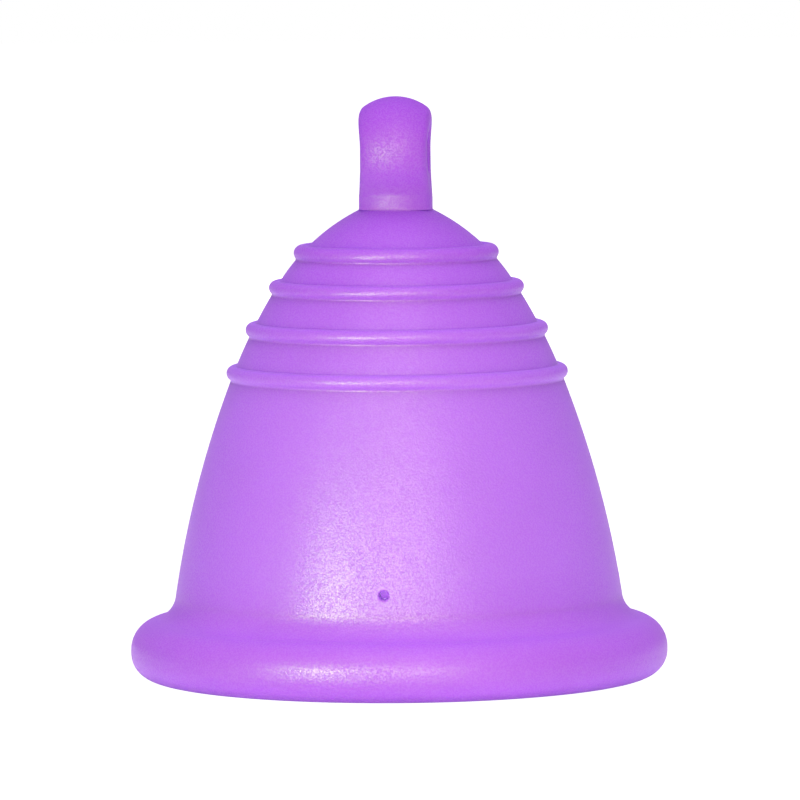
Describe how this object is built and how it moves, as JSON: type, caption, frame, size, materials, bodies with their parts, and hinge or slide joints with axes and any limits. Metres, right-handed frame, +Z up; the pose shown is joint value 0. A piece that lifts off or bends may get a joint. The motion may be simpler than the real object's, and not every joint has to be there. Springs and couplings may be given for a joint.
{
  "type": "soft silicone cup",
  "caption": "Soft one-material bell cup: a thick rolled rim, a tapered vented wall, a grip-ringed shoulder, a dome and a pull ring on a short neck.",
  "frame": {"origin": "centre of the mouth, on the plane that the rim rests on", "axes": "+Z up the cup's axis from the mouth to the pull ring, +X along the pull ring's hole, -Y towards the vent hole that faces the front"},
  "size_m": [0.045, 0.045, 0.0486],
  "materials": {
    "silicone_rim": "matte",
    "silicone_body": "matte",
    "silicone_handle": "matte"
  },
  "bodies": {
    "cup_base": {"rim": "silicone_rim", "cup_wall": "silicone_body"},
    "crown": {"shoulder": "silicone_body", "grip_ring_1": "silicone_body", "grip_ring_2": "silicone_body", "grip_ring_3": "silicone_body", "grip_ring_4": "silicone_body", "dome": "silicone_body"},
    "neck": {"handle_neck": "silicone_handle"},
    "handle": {"pull_ring": "silicone_handle"}
  },
  "joints": [
    {"name": "crown_press", "type": "slide", "parent": "cup_base", "child": "crown", "axis": [0, 0, 1], "range_m": [-0.005, 0], "stiffness_N_per_m": 900, "deforming": ["cup_wall"]},
    {"name": "handle_tilt_front", "type": "hinge", "parent": "crown", "child": "neck", "pos_m": [0, 0, 0.03916], "axis": [1, 0, 0], "range_deg": [-24, 24], "stiffness_Nm_per_rad": 0.02, "deforming": ["handle_neck"]},
    {"name": "handle_tilt_side", "type": "hinge", "parent": "neck", "child": "handle", "pos_m": [0, 0, 0.04086], "axis": [0, 1, 0], "range_deg": [-18, 18], "stiffness_Nm_per_rad": 0.03}
  ]
}
